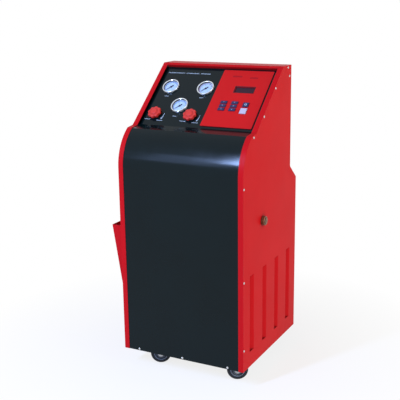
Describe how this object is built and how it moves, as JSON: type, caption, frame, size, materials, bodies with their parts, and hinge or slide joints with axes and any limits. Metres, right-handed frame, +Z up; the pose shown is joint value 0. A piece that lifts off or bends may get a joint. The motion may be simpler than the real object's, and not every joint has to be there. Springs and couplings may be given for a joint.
{
  "type": "air conditioning recharge station",
  "caption": "Wheeled refrigerant recharge cabinet with a sloping control head: gauges, hand valves, keypad and display, louvred side and a side pocket.",
  "frame": {"origin": "on the floor, at the middle of the whole outline in plan", "axes": "+X to the right seen from the front, +Y to the rear, +Z up"},
  "size_m": [0.5502, 0.4856, 1.066],
  "materials": {
    "red_paint": "gloss powder coat",
    "black_paint": "gloss powder coat",
    "galvanised_steel": "zinc plated",
    "stainless": "brushed",
    "lock_bronze": "dark bronze, satin",
    "chrome": "bright plated",
    "brass": "machined",
    "aluminium": "machined",
    "clear_lens": "clear",
    "display_glass": "tinted",
    "dial_white": "printed white",
    "needle_black": "matt black",
    "knob_red": "satin moulded",
    "key_dark": "satin dark blue",
    "key_white": "satin white",
    "circuit_board": "green laminate",
    "tyre_rubber": "moulded rubber",
    "hub_grey": "moulded nylon",
    "tank_blue": "enamel",
    "machine_black": "satin enamel",
    "inlet_black": "moulded"
  },
  "bodies": {
    "cabinet": {"base_tray": "galvanised_steel", "component_shelf": "galvanised_steel", "compressor": "machine_black", "condenser": "aluminium", "control_board": "circuit_board", "control_panel": "black_paint", "display_window": "display_glass", "fan_shroud": "machine_black", "filter_drier": "aluminium", "front_left_caster_plate": "galvanised_steel", "front_panel": "black_paint", "front_right_caster_plate": "galvanised_steel", "gauge_bezels": "chrome", "gauge_cases": "machine_black", "gauge_dials": "dial_white", "gauge_lenses": "clear_lens", "keypad_plate": "red_paint", "left_side_panel": "red_paint", "lock_barrel": "lock_bronze", "manifold_block": "brass", "power_inlet": "inlet_black", "rear_left_caster_bracket": "galvanised_steel", "rear_panel": "red_paint", "rear_right_caster_bracket": "galvanised_steel", "refrigerant_tank": "tank_blue", "right_side_panel": "red_paint", "scale_platform": "aluminium", "screws": "stainless", "service_ports": "brass", "side_pocket": "red_paint", "top_cover": "red_paint", "vacuum_pump": "machine_black"},
    "key_left_lower": {"key_left_lower": "key_dark"},
    "key_left_centre": {"key_left_centre": "key_dark"},
    "key_left_upper": {"key_left_upper": "key_dark"},
    "key_middle_lower": {"key_middle_lower": "key_dark"},
    "key_middle_centre": {"key_middle_centre": "key_dark"},
    "key_middle_upper": {"key_middle_upper": "key_dark"},
    "key_start": {"key_start": "key_dark"},
    "key_stop": {"key_stop": "key_white"},
    "low_needle": {"low_gauge_needle": "needle_black"},
    "high_needle": {"high_gauge_needle": "needle_black"},
    "tank_needle": {"tank_gauge_needle": "needle_black"},
    "low_valve": {"low_valve_knob": "knob_red", "low_valve_stem": "stainless"},
    "high_valve": {"high_valve_knob": "knob_red", "high_valve_stem": "stainless"},
    "lock": {"lock_plug": "lock_bronze"},
    "front_left_caster": {"front_left_caster_fork": "galvanised_steel"},
    "front_left_wheel": {"front_left_wheel_hub": "hub_grey", "front_left_wheel_tyre": "tyre_rubber"},
    "rear_left_wheel": {"rear_left_wheel_hub": "hub_grey", "rear_left_wheel_tyre": "tyre_rubber"},
    "front_right_caster": {"front_right_caster_fork": "galvanised_steel"},
    "front_right_wheel": {"front_right_wheel_hub": "hub_grey", "front_right_wheel_tyre": "tyre_rubber"},
    "rear_right_wheel": {"rear_right_wheel_hub": "hub_grey", "rear_right_wheel_tyre": "tyre_rubber"},
    "fan": {"condenser_fan": "inlet_black"},
    "rocker": {"power_rocker": "inlet_black"}
  },
  "joints": [
    {"name": "key_left_lower_press", "type": "slide", "parent": "cabinet", "child": "key_left_lower", "axis": [0, 0.6475, -0.7621], "range_m": [0, 0.0015], "stiffness_N_per_m": 400, "springref_m": -0.001},
    {"name": "key_left_centre_press", "type": "slide", "parent": "cabinet", "child": "key_left_centre", "axis": [0, 0.6475, -0.7621], "range_m": [0, 0.0015], "stiffness_N_per_m": 400, "springref_m": -0.001},
    {"name": "key_left_upper_press", "type": "slide", "parent": "cabinet", "child": "key_left_upper", "axis": [0, 0.6475, -0.7621], "range_m": [0, 0.0015], "stiffness_N_per_m": 400, "springref_m": -0.001},
    {"name": "key_middle_lower_press", "type": "slide", "parent": "cabinet", "child": "key_middle_lower", "axis": [0, 0.6475, -0.7621], "range_m": [0, 0.0015], "stiffness_N_per_m": 400, "springref_m": -0.001},
    {"name": "key_middle_centre_press", "type": "slide", "parent": "cabinet", "child": "key_middle_centre", "axis": [0, 0.6475, -0.7621], "range_m": [0, 0.0015], "stiffness_N_per_m": 400, "springref_m": -0.001},
    {"name": "key_middle_upper_press", "type": "slide", "parent": "cabinet", "child": "key_middle_upper", "axis": [0, 0.6475, -0.7621], "range_m": [0, 0.0015], "stiffness_N_per_m": 400, "springref_m": -0.001},
    {"name": "key_start_press", "type": "slide", "parent": "cabinet", "child": "key_start", "axis": [0, 0.6475, -0.7621], "range_m": [0, 0.0015], "stiffness_N_per_m": 400, "springref_m": -0.001},
    {"name": "key_stop_press", "type": "slide", "parent": "cabinet", "child": "key_stop", "axis": [0, 0.6475, -0.7621], "range_m": [0, 0.0015], "stiffness_N_per_m": 400, "springref_m": -0.001},
    {"name": "low_needle_turn", "type": "hinge", "parent": "cabinet", "child": "low_needle", "pos_m": [-0.1408, 0.01596, 0.98667], "axis": [0, 0.6475, -0.7621], "range_deg": [0, 270]},
    {"name": "high_needle_turn", "type": "hinge", "parent": "cabinet", "child": "high_needle", "pos_m": [-0.0013, 0.01596, 0.98667], "axis": [0, 0.6475, -0.7621], "range_deg": [0, 270]},
    {"name": "tank_needle_turn", "type": "hinge", "parent": "cabinet", "child": "tank_needle", "pos_m": [-0.071, -0.04981, 0.9308], "axis": [0, 0.6475, -0.7621], "range_deg": [0, 270]},
    {"name": "low_valve_turn", "type": "hinge", "parent": "cabinet", "child": "low_valve", "pos_m": [-0.1513, -0.08312, 0.9025], "axis": [0, -0.6475, 0.7621], "range_deg": [0, 360]},
    {"name": "high_valve_turn", "type": "hinge", "parent": "cabinet", "child": "high_valve", "pos_m": [-0.0113, -0.08312, 0.9025], "axis": [0, -0.6475, 0.7621], "range_deg": [0, 360]},
    {"name": "lock_turn", "type": "hinge", "parent": "cabinet", "child": "lock", "pos_m": [0.26145, -0.0827, 0.562], "axis": [1, 0, 0], "range_deg": [0, 90]},
    {"name": "front_left_swivel", "type": "hinge", "parent": "cabinet", "child": "front_left_caster", "pos_m": [-0.1293, -0.1802, 0.102], "axis": [0, 0, 1], "continuous": true},
    {"name": "front_left_roll", "type": "hinge", "parent": "front_left_caster", "child": "front_left_wheel", "pos_m": [-0.10451, -0.16718, 0.0375], "axis": [-0.4648, 0.8854, 0], "continuous": true},
    {"name": "rear_left_roll", "type": "hinge", "parent": "cabinet", "child": "rear_left_wheel", "pos_m": [-0.1293, 0.1623, 0.0375], "axis": [1, 0, 0], "continuous": true},
    {"name": "front_right_swivel", "type": "hinge", "parent": "cabinet", "child": "front_right_caster", "pos_m": [0.1797, -0.1802, 0.102], "axis": [0, 0, 1], "continuous": true},
    {"name": "front_right_roll", "type": "hinge", "parent": "front_right_caster", "child": "front_right_wheel", "pos_m": [0.20449, -0.16718, 0.0375], "axis": [-0.4648, 0.8854, 0], "continuous": true},
    {"name": "rear_right_roll", "type": "hinge", "parent": "cabinet", "child": "rear_right_wheel", "pos_m": [0.1797, 0.1623, 0.0375], "axis": [1, 0, 0], "continuous": true},
    {"name": "fan_spin", "type": "hinge", "parent": "cabinet", "child": "fan", "pos_m": [0.21495, -0.0119, 0.229], "axis": [1, 0, 0], "continuous": true},
    {"name": "rocker_tilt", "type": "hinge", "parent": "cabinet", "child": "rocker", "pos_m": [0.1552, 0.2228, 0.2095], "axis": [1, 0, 0], "range_deg": [0, 20]}
  ]
}
